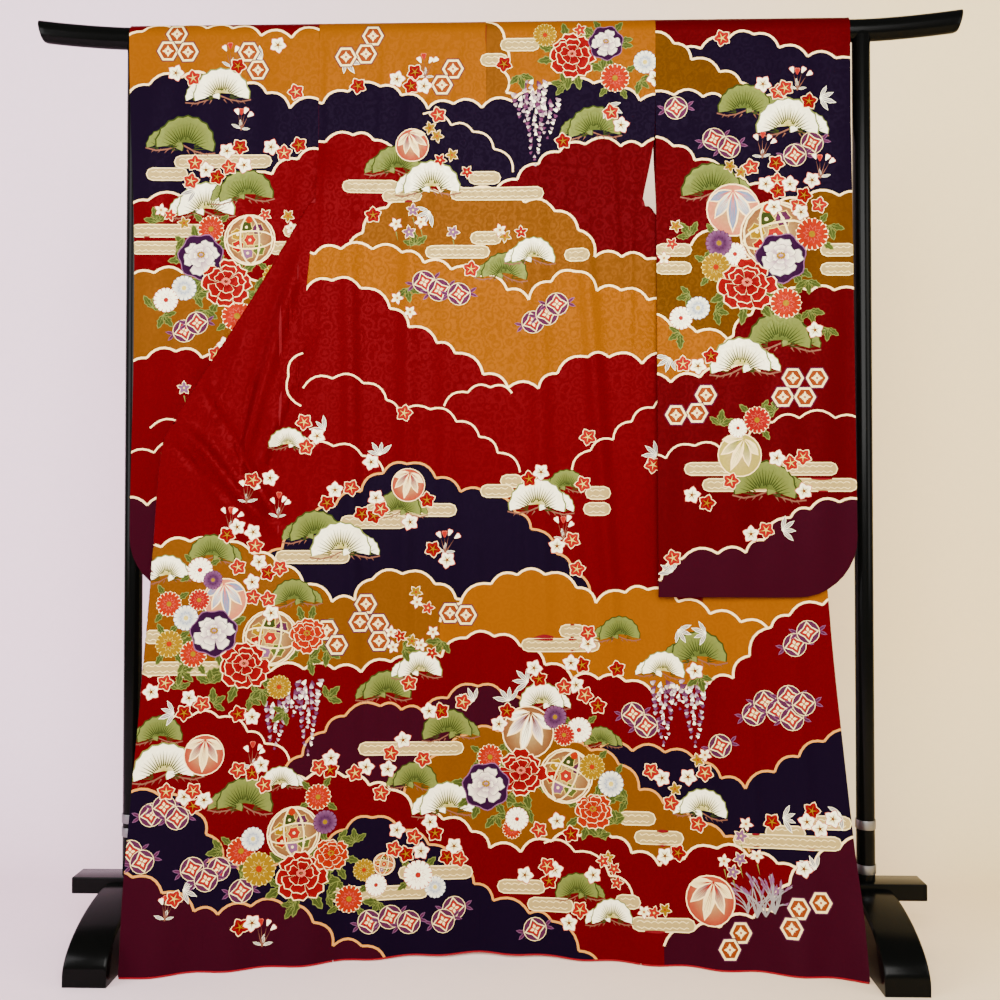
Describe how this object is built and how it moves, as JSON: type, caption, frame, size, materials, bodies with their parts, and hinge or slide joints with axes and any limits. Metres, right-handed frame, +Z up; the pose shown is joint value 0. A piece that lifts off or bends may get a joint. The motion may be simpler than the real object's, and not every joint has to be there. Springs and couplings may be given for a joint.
{
  "type": "furisode kimono on kimono stand",
  "caption": "Long-sleeved silk kimono hung open with its back outward over the bar of a lacquered wooden stand, fronts spread to the sides.",
  "frame": {"origin": "on the floor, midway between the stand's feet", "axes": "+Z up, +X along the bar to the right as seen with the garment's back facing the viewer, -Y towards that viewer"},
  "size_m": [1.67, 0.39, 1.666],
  "materials": {
    "silk": "figured silk satin, soft sheen",
    "silk_gold": "figured silk satin, soft sheen",
    "crepe_red": "matt crepe silk lining",
    "lacquer": "black gloss lacquer",
    "ring_metal": "dull grey metal"
  },
  "bodies": {
    "root": {"body_left": "silk", "body_right": "silk", "okumi_left": "silk_gold", "okumi_right": "silk_gold", "collar": "silk", "sleeve_left": "silk_gold", "sleeve_right": "silk_gold", "hem_lining_front_left": "crepe_red", "hem_lining_back_left": "crepe_red", "hem_lining_back_right": "crepe_red", "hem_lining_front_right": "crepe_red", "stand_bar": "lacquer", "stand_rail": "lacquer", "stand_post_left": "lacquer", "stand_foot_left": "lacquer", "stand_post_right": "lacquer", "stand_foot_right": "lacquer", "ring_left_upper": "ring_metal", "ring_left_lower": "ring_metal", "ring_right_upper": "ring_metal", "ring_right_lower": "ring_metal"}
  },
  "joints": []
}
